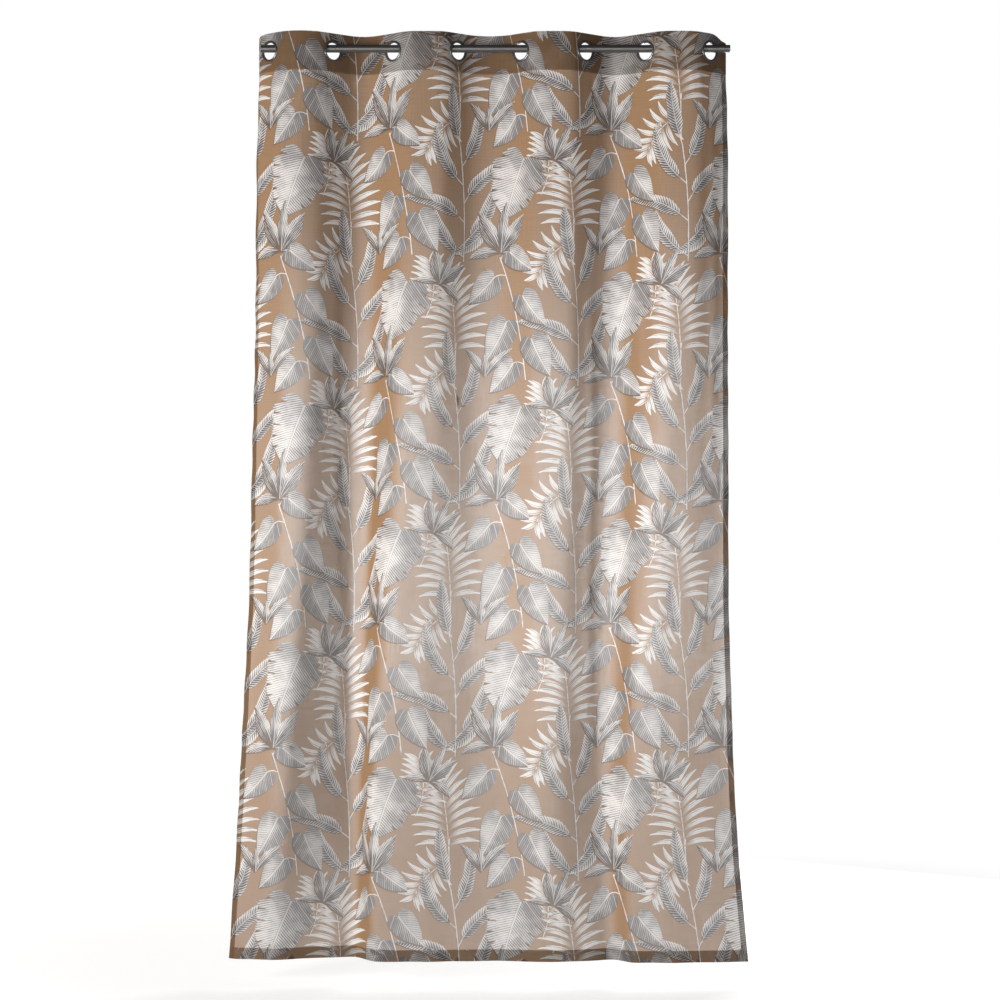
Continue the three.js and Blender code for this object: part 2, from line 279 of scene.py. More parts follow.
# For each kind of leaf: its edge, how many steps it is drawn in, its strokes to the millimetre along it
# and across it, how much ink it has all over, on its shaded side, at its rim and at its foot, and whether
# it has veins (1), none (0) or fades out at its foot (-1)
KINDS = {
    "blade": {
        "edge": [
            (0, 0), (0.04, 0.26), (0.13, 0.68), (0.3, 1), (0.55, 0.97), (0.77, 0.68), (0.92, 0.28), (1, 0),
        ],
        "steps": 120, "strokes": (0.13, 0.11), "ink": (0.46, 0.26, -0.36, 0.14), "veins": 0,
    },
    "lance": {
        "edge": [(0, 0.1), (0.15, 0.42), (0.4, 0.95), (0.55, 1), (0.75, 0.68), (0.92, 0.24), (1, 0)],
        "steps": 11, "strokes": (0.03, 0.24), "ink": (0.3, 0.3, 0.0, 0.6), "veins": 0,
    },
    "leaflet": {
        "edge": [(0, 0.12), (0.12, 0.6), (0.36, 1), (0.62, 0.88), (0.85, 0.45), (1, 0)],
        "steps": 8, "strokes": (0.0, 0.2), "ink": (0.0, 0.24, 0.0, 0.0), "veins": -1,
    },
    "heart": {
        "edge": [
            (0, 0), (-0.08, 0.2), (-0.12, 0.48), (-0.06, 0.78), (0.08, 0.97), (0.24, 1), (0.45, 0.88),
            (0.66, 0.62), (0.84, 0.32), (0.95, 0.1), (1, 0),
        ],
        "steps": 22, "strokes": (0.17, 0.12), "ink": (0.3, 0.34, 0.16, 0.16), "veins": 1,
    },
    "split": {
        "edge": [
            (0, 0), (-0.08, 0.25), (-0.11, 0.52), (-0.03, 0.84), (0.12, 0.98), (0.3, 1), (0.5, 0.92),
            (0.7, 0.7), (0.86, 0.4), (0.96, 0.14), (1, 0),
        ],
        "steps": 120, "strokes": (0.15, 0.095), "ink": (0.24, 0.26, 0.08, 0.26), "veins": 1,
    },
    "stem": {
        "edge": [(0, 1), (1, 1)],
        "steps": 8, "strokes": (0.0, 0.25), "ink": (0.15, 0.3, 0.0, 0.0), "veins": 0,
    },
}

# The feathered edge of blades and split leaves: how it waves, how far it steps in at every half stroke,
# and where a split leaf is cut in, how deep, how far back towards its foot and past how many points
EDGE_WAVE = 0.08
EDGE_WAVE_LONG = 13
HALF_STROKE = 0.5
FEATHER = 0.13
SPLITS = [0.12, 0.3, 0.47, 0.63, 0.78]
SPLIT_DEPTH = 0.42
SPLIT_BACK = 0.05
UNSPLIT_POINTS = 6


def bent(s, n, row):
    """The flat place of points s along a leaf's midrib and n to its left."""
    angle, radius = math.radians(row["angle"]), row["long"] / math.radians(row["bend"])
    ahead = (radius - n) * np.sin(s / radius)
    aside = radius - (radius - n) * np.cos(s / radius)
    x = row["x"] + ahead * math.cos(angle) - aside * math.sin(angle)
    up = row["up"] + ahead * math.sin(angle) + aside * math.cos(angle)
    return np.stack([x, up], axis=-1)


def edge_of(row):
    """One side of a leaf's outline from foot to tip, in mm along its midrib and out from it. Blades and
    split leaves are feathered: their edge steps in between one stroke and the next."""
    kind = KINDS[row["kind"]]
    points = np.array(kind["edge"], float)
    ends = np.arange(len(points))
    at = np.linspace(0, len(points) - 1, kind["steps"])
    edge = np.stack([through(ends, points[:, i], at) for i in (0, 1)], axis=1) * (row["long"], row["half"])
    if row["kind"] not in ("blade", "split"):
        return edge
    edge[:, 1] *= 1 + EDGE_WAVE * np.sin(edge[:, 0] / EDGE_WAVE_LONG + row["x"])
    to_mm, over_mm = kind["strokes"]
    phase = edge[:, 0] * to_mm - edge[:, 1] * over_mm
    turned = np.concatenate([[0], np.cumsum(np.abs(np.diff(phase)))])
    stops = np.arange(0, turned[-1], HALF_STROKE)
    feathered = np.stack([np.interp(stops, turned, edge[:, i]) for i in (0, 1)], axis=1)
    feathered[1::2, 1] *= 1 - FEATHER
    if row["kind"] == "split":
        for split in SPLITS:
            far = np.abs(feathered[UNSPLIT_POINTS:, 0] - split * row["long"])
            near = np.argmin(far) + UNSPLIT_POINTS
            feathered[near] = feathered[near] * (1, 1 - SPLIT_DEPTH) - (SPLIT_BACK * row["long"], 0)
    return np.vstack([feathered, [row["long"], 0]])


# Every leaf of one repeat, the ones at the back first, with points no closer than this in its outline
motif = []
CLOSEST_POINTS = 0.01


def leaf(kind, x, up, angle, long, half, bend, shade=1):
    """One leaf: its foot, the way it starts off, its length, half width and bend in degrees, and which
    side of its midrib is shaded."""
    row = {"kind": kind, "x": x, "up": up, "angle": angle, "long": long, "half": half, "bend": bend}
    row["shade"] = shade
    edge = edge_of(row)
    ring = np.vstack([edge * (1, -1), edge[::-1]])
    ring = ring[np.hypot(*(ring - np.roll(ring, 1, axis=0)).T) > CLOSEST_POINTS]
    row["ring"] = bent(ring[:, 0], ring[:, 1], row)
    motif.append(row)
    return row


# A frond's half widths, and for its first and its last leaflet: its place on the rib, where on a sine's
# half turn its size is read, how far it leans off the rib, and how far it arches, in degrees
RIB_HALF = 1.5
LEAFLET_HALF = 6.6
LEAFLET_PLACE = (0.1, 0.99)
LEAFLET_SWELL = (0.3, 0.84)
LEAFLET_LEAN = (60, 18)
LEAFLET_ARCH = (58, 36)
SWELL_FULLNESS = 0.7


def frond(x, up, angle, long, bend, pairs, reach):
    """A palm frond: pairs of narrow leaflets that arch back from a bent rib."""
    rib = leaf("stem", x, up, angle, long, RIB_HALF, bend)
    for k in range(pairs):
        share = (k + 0.5) / pairs
        s = long * mix(*LEAFLET_PLACE, share)
        foot_x, foot_up = bent(s, 0, rib)
        size = reach * math.sin(math.pi * mix(*LEAFLET_SWELL, share)) ** SWELL_FULLNESS
        for hand in (1, -1):
            way = angle + bend * s / long + hand * mix(*LEAFLET_LEAN, share)
            arch = hand * mix(*LEAFLET_ARCH, share)
            leaf("leaflet", foot_x, foot_up, way, size, LEAFLET_HALF, arch, -hand)


# A stalk's blades stand on short twigs, and are the wider the longer they are
STALK_HALF = 2.0
TWIG_HALF = 1.3
BLADE_TWIG_LONG = 22
BLADE_HALF = 9
BLADE_SLIMNESS = 0.06


def stalk(x, up, angle, long, bend, blades):
    """A stem with blades off it: for each its place up the stem, which way it leans off, its length and
    its bend."""
    stem = leaf("stem", x, up, angle, long, STALK_HALF, bend)
    for share, lean, size, arch in blades:
        foot_x, foot_up = bent(long * share, 0, stem)
        way = angle + bend * share + lean
        twig = leaf("stem", foot_x, foot_up, way, BLADE_TWIG_LONG, TWIG_HALF, 1)
        tip_x, tip_up = bent(BLADE_TWIG_LONG, 0, twig)
        half = BLADE_HALF + size * BLADE_SLIMNESS
        leaf("blade", tip_x, tip_up, way, size, half, arch, math.copysign(1, lean))


# For each leaf of a sprig: its lean, its share of the sprig's size, and its arch
SPRIG = [
    (82, 0.8, 48), (-78, 0.85, -52), (-44, 1.0, 30), (50, 0.95, -26), (-18, 1.05, -24), (24, 1.1, 20),
    (2, 1.2, -8),
]
LANCE_SLIMNESS = 0.12


def sprig(x, up, angle, size):
    """Seven pointed leaves out of one bud, the outer ones bent over."""
    for lean, share, arch in SPRIG:
        half = size * LANCE_SLIMNESS
        leaf("lance", x, up, angle + lean, size * share, half, arch, math.copysign(1, lean))


# A vine's hearts hang on twigs that curl over, in degrees, and overlap their tips a little
VINE_HALF = 1.7
HEART_TWIG_LONG = 36
HEART_TWIG_LEAN = 42
HEART_TWIG_CURL = 70
HEART_ON_TWIG = 34
HEART_SLIMNESS = 0.36
HEART_BEND = 12


def vine(x, up, angle, long, bend, hearts):
    """A climbing stem hung with heart leaves on curled stalks: for each its place up the stem, its side
    (1 left, -1 right), its length and the way its tip points."""
    stem = leaf("stem", x, up, angle, long, VINE_HALF, bend)
    for share, hand, size, way in hearts:
        foot_x, foot_up = bent(long * share, 0, stem)
        off = angle + bend * share + hand * HEART_TWIG_LEAN
        twig = leaf("stem", foot_x, foot_up, off, HEART_TWIG_LONG, TWIG_HALF, hand * HEART_TWIG_CURL)
        tip_x, tip_up = bent(HEART_ON_TWIG, 0, twig)
        leaf("heart", tip_x, tip_up, way, size, size * HEART_SLIMNESS, -hand * HEART_BEND, hand)


# One repeat of the print, from the leaves at the back to those in front
leaf("stem", 66, -30, 92, 120, VINE_HALF, -6)
leaf("blade", 148, 392, 238, 128, 17, -44, -1)
leaf("blade", 296, 236, 52, 118, 16, 46, 1)
frond(66, 40, 90, 214, 12, 10, 102)
frond(64, 34, 206, 134, 40, 7, 70)
frond(300, 470, 62, 150, 50, 8, 74)
stalk(84, 300, 88, 300, 10, [
    (0.04, 58, 136, -50), (0.16, -46, 158, 46), (0.34, 50, 164, 42), (0.5, -34, 160, -44),
    (0.66, 44, 156, -46), (0.82, -40, 150, 40), (1.0, 8, 146, -16),
])
leaf("split", 250, 566, 246, 162, 80, 10, 1)
sprig(186, 326, 86, 112)
sprig(336, 560, 66, 86)
vine(262, -6, 96, 330, 16, [
    (0.12, 1, 98, 236), (0.28, -1, 108, 292), (0.46, 1, 114, 248), (0.62, -1, 100, 304),
    (0.84, 1, 96, 232), (0.98, -1, 84, 318),
])
leaf("lance", 150, 4, 60, 104, 12, -30, -1)
leaf("lance", 150, 4, 114, 88, 11, 24, 1)
leaf("lance", 150, 4, 88, 60, 9, 10, 1)


def printed_leaves(low, high):
    """Every leaf that shows on a stretch of flat cloth between two corners, back ones first, each with
    the soft dark shadow printed beside it."""
    leaves, rings = [], []
    for row in motif:
        for column in PRINT_COLUMNS:
            for tier in PRINT_TIERS:
                across = PRINT_START_ALONG + column * REPEAT_WIDE
                up = -PRINT_START_DROP + tier * REPEAT_TALL + HALF_DROP * (column % 2)
                moved = row["ring"] + (across, up)
                if (moved.max(axis=0) > low).all() and (moved.min(axis=0) < high).all():
                    placed = {**row, "x": row["x"] + across, "up": row["up"] + up, "shadow": False}
                    if row["kind"] not in ("stem", "leaflet"):
                        leaves.append({**placed, "shadow": True})
                        rings.append(moved[::2] + PRINTED_SHADOW)
                    leaves.append(placed)
                    rings.append(moved)
    return leaves, rings


# A leaf's width is read from its foot's lobes to its tip and is never less than a share of its widest,
# and places across it are held to a little past its edge
BEHIND_FOOT = -0.1
NARROWEST = 0.08
PAST_EDGE = 1.2


def leaf_coordinates(points, owners, leaves):
    """For corners of printed triangles: how far along their leaf and across it, and across as a share."""
    x, up, long, half, angle, bend = (
        np.array([row[key] for row in leaves], float)[owners]
        for key in ("x", "up", "long", "half", "angle", "bend")
    )
    kinds = np.array([row["kind"] for row in leaves])[owners]
    angle, radius = np.radians(angle), long / np.radians(bend)
    ahead = (points[:, 0] - x) * np.cos(angle) + (points[:, 1] - up) * np.sin(angle)
    aside = (points[:, 1] - up) * np.cos(angle) - (points[:, 0] - x) * np.sin(angle)
    side = np.sign(radius)
    across = radius - side * np.hypot(ahead, aside - radius)
    along = radius * np.arctan2(side * ahead, side * (radius - aside))
    share = np.zeros(len(points))
    for kind, style in KINDS.items():
        mine = kinds == kind
        table = np.array([point for point in style["edge"] if point[0] > BEHIND_FOOT], float)
        table = table[np.argsort(table[:, 0])]
        wide = np.interp(along[mine] / long[mine], table[:, 0], table[:, 1])
        share[mine] = across[mine] / (half[mine] * np.maximum(wide, NARROWEST))
    return np.stack([along, across, np.clip(share, -PAST_EDGE, PAST_EDGE)], axis=1)


# The panel. Cut from the printed voile, with its sides turned in 15 mm and its foot turned up 30 mm to
# the back and stitched. It is one sheet, its hems the same cloth doubled over.
SIDE_HEM = 15
FOOT_HEM = 30
LAYER_GAP = 0.7

# The grid of points that a sheet is cut in, how close two points may be, and the angle of a sharp fold
COLUMN_STEP = 12
ROW_STEP = 16
HEM_ROW_STEP = 10
SAME_PLACE = 1e-6
FOLDED_SHARP = 120


def cut_flat(low, high, columns, rows, folds, holes, rings):
    """A flat sheet cut along its outline, holes, fold lines and printed leaves: its points, triangles of
    them, and for each triangle the leaf that it lies on, or a number below 0 on the bare ground."""
    points = [(x, up) for up in rows for x in columns]
    corners = [(low[0], low[1]), (high[0], low[1]), (high[0], high[1]), (low[0], high[1])]
    faces, edges = [], []
    for ring in [corners, *holes, *rings]:
        faces.append(list(range(len(points), len(points) + len(ring))))
        points.extend(tuple(point) for point in ring)
    for start, end in folds:
        edges.append((len(points), len(points) + 1))
        points.extend([start, end])
    flat, _, triangles, _, _, inside = delaunay_2d_cdt(points, edges, faces, 0, SAME_PLACE, True)
    kept, owner = [], []
    for triangle, within in zip(triangles, inside):
        if 0 in within and not any(0 < face <= len(holes) for face in within):
            kept.append(triangle)
            owner.append(max(within) - 1 - len(holes))
    used, kept = np.unique(kept, return_inverse=True)
    return np.array([tuple(point) for point in flat])[used], kept.reshape(-1, 3), np.array(owner)


def smooth_piece(name, points, faces, sharp_past):
    """A new smooth-shaded piece, creased where two faces meet at more than an angle in degrees."""
    mesh = bpy.data.meshes.new(name)
    mesh.from_pydata(points, [], faces)
    mesh.polygons.foreach_set("use_smooth", np.ones(len(faces), bool))
    mesh.set_sharp_from_angle(angle=math.radians(sharp_past))
    piece = bpy.data.objects.new(name, mesh)
    bpy.context.scene.collection.objects.link(piece)
    return piece


def print_leaves(mesh, flat, triangles, owner, leaves):
    """Prints the leaves on a sheet's triangles: each corner gets its place on its leaf, and each triangle
    its leaf's strokes, ink and length, which the material reads."""
    printed = owner >= 0
    corner_printed = np.repeat(printed, 3)
    corner_owner = np.repeat(owner, 3)[corner_printed]
    place = np.zeros((len(triangles) * 3, 3))
    place[corner_printed] = leaf_coordinates(flat[triangles.ravel()[corner_printed]], corner_owner, leaves)
    mesh.attributes.new("leaf_place", "FLOAT_VECTOR", "CORNER").data.foreach_set("vector", place.ravel())
    for row in leaves:
        kind = KINDS[row["kind"]]
        all_over, side, rim, foot = kind["ink"]
        row["strokes"] = (*kind["strokes"], kind["veins"])
        row["tone"] = (-1.0 if row["shadow"] else all_over, side * row["shade"], rim)
        row["size"] = (row["long"], foot, 0)
    for key in ("strokes", "tone", "size"):
        values = np.zeros((len(triangles), 3))
        values[printed] = np.array([row[key] for row in leaves])[owner[printed]]
        mesh.attributes.new("leaf_" + key, "FLOAT_VECTOR", "FACE").data.foreach_set("vector", values.ravel())


def cut_sheet(name, low, high, columns, rows, folds, holes, hung, doubled=None):
    """A printed sheet cut flat between two corners and hung by hung(), which takes flat places across and
    up and gives places in space. It has the bare finish first, then the printed one, then the same two
    again for where doubled() finds it double."""
    leaves, rings = printed_leaves(low, high)
    flat, triangles, owner = cut_flat(low, high, columns, rows, folds, holes, rings)
    sheet = smooth_piece(name, hung(flat[:, 0], flat[:, 1]).tolist(), triangles.tolist(), FOLDED_SHARP)
    sheet.data.uv_layers.new(name="Cloth").data.foreach_set("uv", (flat[triangles.ravel()] * MM).ravel())
    print_leaves(sheet.data, flat, triangles, owner, leaves)
    slots = (owner >= 0).astype(int)
    if doubled:
        middle = flat[triangles].mean(axis=1)
        slots += 2 * doubled(middle[:, 0], middle[:, 1])
    sheet.data.polygons.foreach_set("material_index", slots)
    return sheet


def turned_in(across):
    """The place along the cloth that a point lies at once the side hems are turned in, and 1 in a hem."""
    along = np.where(across < 0, -across, np.where(across > CLOTH_WIDE, 2 * CLOTH_WIDE - across, across))
    return along, (along != across).astype(int)


def hang_panel(across, up):
    """Hangs the panel with its side and foot hems turned to the back."""
    along, behind = turned_in(across)
    behind += -up > HEM_DROP
    drop = np.where(-up > HEM_DROP, 2 * HEM_DROP + up, -up)
    return hang(along, drop, ripples(along, drop) - LAYER_GAP * behind)


def in_hems(across, up):
    """1 where the panel lies double, in its side and foot hems."""
    in_sides = np.minimum(across, CLOTH_WIDE - across) < SIDE_HEM
    return (in_sides | (-up > HEM_DROP - FOOT_HEM)).astype(int)


def evenly(start, end, step):
    return np.linspace(start, end, max(round(abs(end - start) / step), 1) + 1)


left, right = -SIDE_HEM, CLOTH_WIDE + SIDE_HEM
panel_columns = [left, -SIDE_HEM / 2, *evenly(0, CLOTH_WIDE, COLUMN_STEP), CLOTH_WIDE + SIDE_HEM / 2, right]
top, foot = -HEADING_FOOT, -HEM_DROP - FOOT_HEM
panel = cut_sheet(
    "panel_cloth", (left, foot), (right, top),
    columns=panel_columns,
    rows=[*evenly(top, -HEM_DROP, ROW_STEP), *evenly(-HEM_DROP, foot, HEM_ROW_STEP)[1:]],
    folds=[
        ((0, top), (0, foot)),
        ((CLOTH_WIDE, top), (CLOTH_WIDE, foot)),
        ((left, -HEM_DROP), (right, -HEM_DROP)),
        ((SIDE_HEM, top), (SIDE_HEM, foot)),
        ((CLOTH_WIDE - SIDE_HEM, top), (CLOTH_WIDE - SIDE_HEM, foot)),
        ((left, FOOT_HEM - HEM_DROP), (right, FOOT_HEM - HEM_DROP)),
    ],
    holes=[],
    hung=hang_panel,
    doubled=in_hems,
)

# Voile: thin plain-woven polyester, tan, a little see-through, with slight slubs in its threads. The
# leaves are printed on it in white and warm greys, which close the weave and make it less sheer. Where
# the cloth lies double, in its hems and heading, its colour is darkened by painted shade, which stands in
# for the light that the second layer holds back.
TAN = (0.275, 0.156, 0.076)
TAN_UNEVEN = 0.05
INK_DARK = (0.035, 0.03, 0.032)
INK_GREY = (0.40, 0.375, 0.365)
INK_WHITE = (0.68, 0.645, 0.625)
SLUB_SCALES = (420, 14, 1)
SLUB_RANGE = (0.75, 1.25)
WEAVE_SCALE = 70.0
WEAVE_RELIEF = (0.12, 0.0004)

# Shares: of the colour that double cloth loses to painted shade, of its face that the cloth closes when
# bare and when printed and how unevenly, of the facing it keeps when turned away, and of the light that
# its threads let through
DOUBLED_PAINTED_SHADE = 0.28
BARE_COVER = 0.84
PRINTED_COVER = 0.88
UNEVEN_GAPS = 0.03
EDGE_ON = 0.3
THROUGH_THREADS = 0.36


def new_material(name):
    material = bpy.data.materials.new(name)
    material.use_nodes = True
    material.node_tree.nodes.clear()
    return material, material.node_tree


def node(tree, kind, inputs=(), **settings):
    """A shader node with its settings and inputs set, each input a value or another node's socket."""
    made = tree.nodes.new("ShaderNode" + kind)
    for name, value in settings.items():
        setattr(made, name, value)
    for name, value in dict(inputs).items():
        if isinstance(value, bpy.types.NodeSocket):
            tree.links.new(value, made.inputs[name])
        else:
            made.inputs[name].default_value = value
    return made


def calc(tree, operation, first, second=0.0, third=0.0):
    return node(tree, "Math", {0: first, 1: second, 2: third}, operation=operation).outputs[0]


def noise(tree, place, scale, detail):
    return node(tree, "TexNoise", {"Vector": place, "Scale": scale, "Detail": detail}).outputs[0]


def bump(tree, height, strength, distance):
    return node(tree, "Bump", {"Height": height, "Strength": strength, "Distance": distance}).outputs[0]


def ramp(tree, value, low, high, to_low=0.0, to_high=1.0):
    sockets = {"Value": value, "From Min": low, "From Max": high, "To Min": to_low, "To Max": to_high}
    return node(tree, "MapRange", sockets, interpolation_type="SMOOTHSTEP").outputs[0]


def blend_colours(tree, share, first, second):
    made = node(tree, "Mix", {0: share}, data_type="RGBA")
    for socket, colour in ((made.inputs[6], first), (made.inputs[7], second)):
        if isinstance(colour, bpy.types.NodeSocket):
            tree.links.new(colour, socket)
        else:
            socket.default_value = (*colour, 1)
    return made.outputs[2]


def tan_cloth(tree, flat):
    """The dyed ground: tan, a little uneven from thread to thread."""
    threads = []
    for scales in (SLUB_SCALES, (SLUB_SCALES[1], SLUB_SCALES[0], 1)):
        drawn_out = node(tree, "Mapping", {"Vector": flat, "Scale": scales}).outputs[0]
        threads.append(noise(tree, drawn_out, 1.0, 2.0))
    slub = ramp(tree, calc(tree, "ADD", *threads), *SLUB_RANGE)
    darker, lighter = ([c * share for c in TAN] for share in (1 - TAN_UNEVEN, 1 + TAN_UNEVEN))
    return blend_colours(tree, slub, darker, lighter), slub


# How the leaves are engraved. A pair is where a change starts and where it is full: across a leaf in
# shares of its half width, up it in shares of its length, beside its midrib in mm, and otherwise in
# shares of a stroke, of full ink or of the noise. Two more numbers are what it changes from and to.
HAND_SCALE = 90.0
STROKE_WANDER = 0.5
STROKE_EDGE = (-0.08, 0.08)
SHADED_SIDE = (-0.1, 0.5)
INKED_FOOT = (0.5, 0.0)
FADED_FOOT = (0.42, 0.0, 0.0, 0.85)
CLOUD_SCALE = 30.0
CLOUDED = (0.35, 0.65, -0.08, 0.1)
VEINS_TO_A_STROKE = 0.25
VEIN_EDGE = (0.42, 0.47)
RIB_AT_FOOT = 1.5
RIB_TAPER = 0.9
RIB_EDGE = (0.2, -0.4)
BESIDE_RIB_NEAR = (-0.1, 0.3)
BESIDE_RIB_FAR = (2.2, 0.8)
BESIDE_RIB_INK = 0.7
GREYING = (0.15, 0.8, 0.0, 0.9)
BITE = 0.88
LIGHTER_BITE = 0.2
SHADOW_INK = 0.5
SHADOW_STROKES = 0.2

# A leaf with strokes along it has a midrib, and a number below 0 marks a shadow or a foot that fades out
RIBBED_PAST = 0.01
MARKED_BELOW = -0.5


def leaf_reads(tree, name):
    """The three numbers of one attribute of the printed leaves."""
    read_there = node(tree, "Attribute", attribute_name="leaf_" + name).outputs["Vector"]
    return node(tree, "SeparateXYZ", {0: read_there}).outputs


def ink_cover(tree, flat, share, run):
    """How much of a leaf its strokes cover: more on its shaded side, at its rim and at its foot."""
    all_over, side, at_rim = leaf_reads(tree, "tone")
    at_foot = leaf_reads(tree, "size")[1]
    shaded = ramp(tree, calc(tree, "MULTIPLY", share, calc(tree, "SIGN", side)), *SHADED_SIDE)
    cover = calc(tree, "MULTIPLY_ADD", shaded, calc(tree, "ABSOLUTE", side), all_over)
    cover = calc(tree, "MULTIPLY_ADD", calc(tree, "MULTIPLY", share, share), at_rim, cover)
    cover = calc(tree, "MULTIPLY_ADD", ramp(tree, run, *INKED_FOOT), at_foot, cover)
    cloud = noise(tree, flat, CLOUD_SCALE, 1.0)
    return calc(tree, "ADD", cover, ramp(tree, cloud, *CLOUDED))


def engraved_ink(tree, flat, ground):
    """The printed colour of a leaf: dark strokes off its midrib, wider where it has more ink, on a
    white that greys with them, and beside it the shadow printed on the ground."""
    along, across, share = leaf_reads(tree, "place")
    to_mm, over_mm, veins = leaf_reads(tree, "strokes")
    away = calc(tree, "ABSOLUTE", across)
    run = calc(tree, "DIVIDE", along, leaf_reads(tree, "size")[0])
    hand = noise(tree, flat, HAND_SCALE, 1.0)
    wander = calc(tree, "MULTIPLY_ADD", hand, STROKE_WANDER, -STROKE_WANDER / 2)
    phase = calc(tree, "MULTIPLY_ADD", along, to_mm, wander)
    phase = calc(tree, "SUBTRACT", phase, calc(tree, "MULTIPLY", away, over_mm))
    stroke = calc(tree, "PINGPONG", phase, HALF_STROKE)
    cover = ink_cover(tree, flat, share, run)
    edge = calc(tree, "MULTIPLY_ADD", cover, -HALF_STROKE, HALF_STROKE)
    ink = ramp(tree, calc(tree, "SUBTRACT", stroke, edge), *STROKE_EDGE)

    vein = calc(tree, "PINGPONG", calc(tree, "MULTIPLY", phase, VEINS_TO_A_STROKE), HALF_STROKE)
    vein = calc(tree, "MULTIPLY", ramp(tree, vein, *VEIN_EDGE), veins)
    has_rib = calc(tree, "GREATER_THAN", to_mm, RIBBED_PAST)
    rib_half = calc(tree, "MULTIPLY_ADD", veins, RIB_TAPER, RIB_AT_FOOT)
    rib_gap = calc(tree, "SUBTRACT", away, calc(tree, "MULTIPLY_ADD", run, -RIB_TAPER, rib_half))
    rib = calc(tree, "MULTIPLY", ramp(tree, rib_gap, *RIB_EDGE), has_rib)
    ink = calc(tree, "MULTIPLY", ink, calc(tree, "SUBTRACT", 1.0, calc(tree, "MAXIMUM", rib, vein)))
    beside_rib = calc(
        tree, "MULTIPLY", ramp(tree, rib_gap, *BESIDE_RIB_NEAR), ramp(tree, rib_gap, *BESIDE_RIB_FAR),
    )
    beside_rib = calc(tree, "MULTIPLY", beside_rib, calc(tree, "MULTIPLY", has_rib, BESIDE_RIB_INK))
    ink = calc(tree, "MAXIMUM", ink, beside_rib)

    paper = blend_colours(tree, ramp(tree, cover, *GREYING), INK_WHITE, INK_GREY)
    bite = calc(tree, "MULTIPLY_ADD", calc(tree, "MAXIMUM", veins, 0.0), -LIGHTER_BITE, BITE)
    colour = blend_colours(tree, calc(tree, "MULTIPLY", ink, bite), paper, INK_DARK)
    fades = calc(tree, "LESS_THAN", veins, MARKED_BELOW)
    fades = calc(tree, "MULTIPLY", ramp(tree, run, *FADED_FOOT), fades)
    colour = blend_colours(tree, fades, colour, ground)
    shadow = calc(tree, "MULTIPLY_ADD", ink, SHADOW_STROKES, SHADOW_INK)
    shadow = blend_colours(tree, shadow, ground, INK_DARK)
    in_shadow = calc(tree, "LESS_THAN", leaf_reads(tree, "tone")[0], MARKED_BELOW)
    return blend_colours(tree, in_shadow, colour, shadow)


def voile(printed, doubled):
    """Sheer cloth, bare or printed: part light through its gaps, part through its threads. Its gaps
    close up where the cloth turns away from the room, so the flanks of the folds look denser."""
    name = ("printed" if printed else "bare") + "_voile" + ("_double_painted_shade" if doubled else "")
    material, tree = new_material(name)
    flat = node(tree, "UVMap", uv_map="Cloth").outputs[0]
    colour, slub = tan_cloth(tree, flat)
    cover = BARE_COVER
    if printed:
        colour = engraved_ink(tree, flat, colour)
        cover = PRINTED_COVER
    # Double cloth: painted shade darkens its colour for the light that its second layer holds back
    if doubled:
        colour = blend_colours(tree, DOUBLED_PAINTED_SHADE, colour, (0.0, 0.0, 0.0))
    warp = node(tree, "TexWave", {"Vector": flat, "Scale": WEAVE_SCALE}, bands_direction="X")
    weft = node(tree, "TexWave", {"Vector": flat, "Scale": WEAVE_SCALE}, bands_direction="Y")
    weave = calc(tree, "MULTIPLY", warp.outputs[1], weft.outputs[1])
    relief = bump(tree, weave, *WEAVE_RELIEF)
    threads = node(tree, "BsdfPrincipled", {
        "Base Color": colour, "Roughness": 0.82, "Normal": relief, "Sheen Weight": 0.25,
        "Sheen Roughness": 0.5, "Specular IOR Level": 0.25,
    }).outputs[0]
    glow = node(tree, "BsdfTranslucent", {"Color": colour, "Normal": relief}).outputs[0]
    body = node(tree, "MixShader", {0: THROUGH_THREADS, 1: threads, 2: glow}).outputs[0]
    gaps = node(tree, "BsdfTransparent").outputs[0]
    open_share = calc(tree, "MULTIPLY_ADD", slub, -2 * UNEVEN_GAPS, 1 + UNEVEN_GAPS - cover)
    facing = node(tree, "NewGeometry").outputs["Normal"]
    facing = node(tree, "SeparateXYZ", {0: facing}).outputs[1]
    facing = calc(tree, "MAXIMUM", calc(tree, "MULTIPLY", facing, facing), EDGE_ON)
    open_share = calc(tree, "POWER", open_share, calc(tree, "DIVIDE", 1.0, facing))
    sheer = node(tree, "MixShader", {0: open_share, 1: body, 2: gaps}).outputs[0]
    node(tree, "OutputMaterial", {"Surface": sheer})
    return material


single_voile = [voile(printed, doubled=False) for printed in (False, True)]
double_voile = [voile(printed, doubled=True) for printed in (False, True)]
for finish in single_voile + double_voile:
    panel.data.materials.append(finish)
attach(panel, "root")
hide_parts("panel")

# The heading. The top 100 mm of the cloth turned over double, punched for the eyelets and stitched
# along its foot. Its layers part just below the fold at its top, and its sides are tucked in between.
HOLE_RADIUS = 23.6
HOLE_SIDES = 64
HEADING_STEP = 8
LAYER_FORWARD = 0.5
TURN_REACH = 3
SIDE_TUCK = 0.3


def hang_heading(across, up):
    """Hangs the heading's front layer, and behind it the layer turned over its top."""
    along, aside = turned_in(across)
    turned = -up < HEADING_TOP
    drop = np.where(turned, 2 * HEADING_TOP + up, -up)
    from_top = np.clip((drop - HEADING_TOP) / TURN_REACH, 0, 1)
    to_front = np.where(turned, -1, 1)
    return hang(along, drop, to_front * (LAYER_FORWARD * from_top - SIDE_TUCK * aside))


holes = []
for along in EYELET_ALONG:
    for drop in (EYELET_DROP, 2 * HEADING_TOP - EYELET_DROP):
        turns = np.linspace(0, 2 * np.pi, HOLE_SIDES, endpoint=False)
        ring = (along + HOLE_RADIUS * np.cos(turns), -drop + HOLE_RADIUS * np.sin(turns))
        holes.append(np.stack(ring, axis=1))

